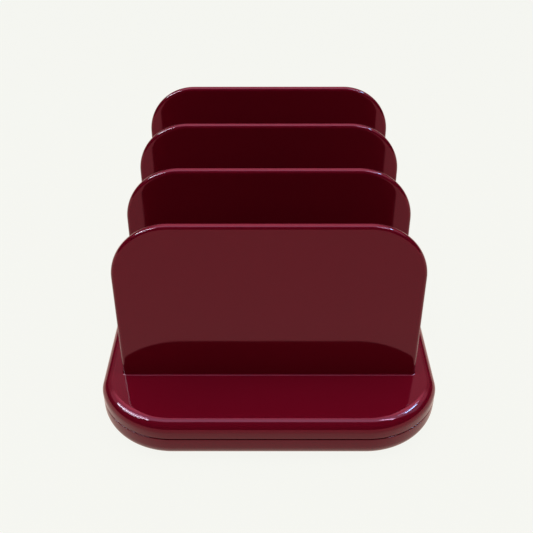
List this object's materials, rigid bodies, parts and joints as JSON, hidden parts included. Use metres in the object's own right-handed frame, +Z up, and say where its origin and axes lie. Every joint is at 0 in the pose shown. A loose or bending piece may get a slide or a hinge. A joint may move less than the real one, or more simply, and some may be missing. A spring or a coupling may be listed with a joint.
{
  "type": "envelope sorter with drawer",
  "caption": "Desktop envelope sorter: upright rounded dividers on a rounded deck, with a shallow drawer that slides out of the base.",
  "frame": {"origin": "on the table, at the middle of the footprint", "axes": "+Y from the drawer's front to the rear, +Z up, +X to the right seen from the front"},
  "size_m": [0.2052, 0.2754, 0.1336],
  "materials": {
    "burgundy_abs": "high gloss",
    "acetal": "natural satin",
    "glide_nylon": "satin",
    "foot_rubber": "matt",
    "spring_steel": "plain",
    "zinc_steel": "bright zinc"
  },
  "bodies": {
    "rack": {"deck": "burgundy_abs", "heel": "burgundy_abs", "divider_front": "burgundy_abs", "divider_second": "burgundy_abs", "divider_third": "burgundy_abs", "divider_rear": "burgundy_abs", "push_nuts_front": "spring_steel", "push_nuts_second": "spring_steel", "push_nuts_third": "spring_steel", "push_nuts_rear": "spring_steel", "heel_screws": "zinc_steel", "runner_left": "acetal", "runner_screws_left": "zinc_steel", "rear_foot_left": "foot_rubber", "runner_right": "acetal", "runner_screws_right": "zinc_steel", "rear_foot_right": "foot_rubber"},
    "drawer": {"drawer": "burgundy_abs", "glide_left": "glide_nylon", "glide_right": "glide_nylon"}
  },
  "joints": [
    {"name": "drawer_slide", "type": "slide", "parent": "rack", "child": "drawer", "axis": [0, -1, 0], "range_m": [0, 0.14]}
  ]
}
